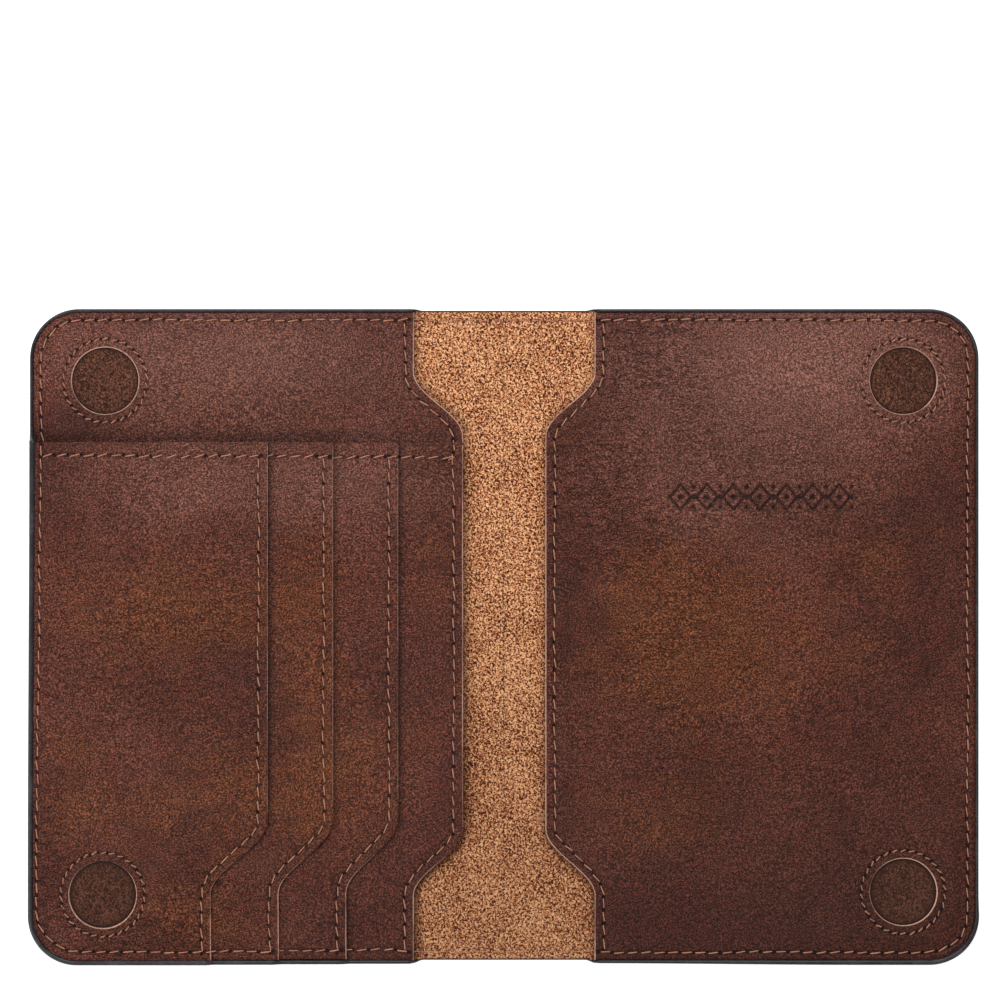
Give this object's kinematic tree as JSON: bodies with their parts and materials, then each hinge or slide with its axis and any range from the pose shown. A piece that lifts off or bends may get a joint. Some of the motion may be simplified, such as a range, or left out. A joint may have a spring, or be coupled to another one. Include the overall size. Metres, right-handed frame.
{
  "type": "leather passport holder",
  "caption": "Bifold leather passport holder lying open: slip and passport panels, stepped card pockets, round magnet closures under windows, stitched and edge-painted rim.",
  "frame": {"origin": "middle of the underside of the open holder, on the surface it lies on", "axes": "+X across the open holder from the card-pocket half to the passport half, +Y up its height, +Z out of the inside faces"},
  "size_m": [0.2102, 0.145, 0.0069],
  "materials": {
    "cover_leather": "napped tan flesh side inside, smooth dark brown grain side outside",
    "panel_leather": "oiled pull-up grain, fine pores, reddish brown with lighter patches",
    "magnet_suede": "dark brown suede",
    "patch_leather": "thin split leather",
    "magnet_nickel": "nickel-plated",
    "edge_paint": "charcoal edge paint, rounded, semi-gloss",
    "thread": "light pinkish tan waxed thread"
  },
  "bodies": {
    "spine": {"outer_cover_spine": "cover_leather", "spine_seam_upper": "thread", "spine_seam_lower": "thread"},
    "left_half": {"outer_cover_left": "cover_leather", "painted_edge_left": "edge_paint", "slip_panel": "panel_leather", "card_backing": "panel_leather", "card_pocket_1": "panel_leather", "card_pocket_2": "panel_leather", "card_pocket_3": "panel_leather", "magnet_disc_upper_left": "magnet_suede", "magnet_upper_left": "magnet_nickel", "magnet_patch_upper_left": "patch_leather", "magnet_disc_lower_left": "magnet_suede", "magnet_lower_left": "magnet_nickel", "magnet_patch_lower_left": "patch_leather", "outer_seam_left": "thread", "slip_panel_seam": "thread", "card_pocket_1_seam": "thread", "card_pocket_2_seam": "thread", "card_pocket_3_seam": "thread", "card_block_seam": "thread", "ring_seam_upper_left": "thread", "ring_seam_lower_left": "thread"},
    "right_half": {"outer_cover_right": "cover_leather", "painted_edge_right": "edge_paint", "passport_panel": "panel_leather", "magnet_disc_upper_right": "magnet_suede", "magnet_upper_right": "magnet_nickel", "magnet_patch_upper_right": "patch_leather", "magnet_disc_lower_right": "magnet_suede", "magnet_lower_right": "magnet_nickel", "magnet_patch_lower_right": "patch_leather", "outer_seam_right": "thread", "passport_panel_seam": "thread", "ring_seam_upper_right": "thread", "ring_seam_lower_right": "thread"}
  },
  "joints": [
    {"name": "left_fold", "type": "hinge", "parent": "spine", "child": "left_half", "pos_m": [-0.0047, 0, 0.0012], "axis": [0, 1, 0], "range_deg": [0, 90]},
    {"name": "right_fold", "type": "hinge", "parent": "spine", "child": "right_half", "pos_m": [0.0047, 0, 0.0012], "axis": [0, -1, 0], "range_deg": [0, 90]}
  ]
}
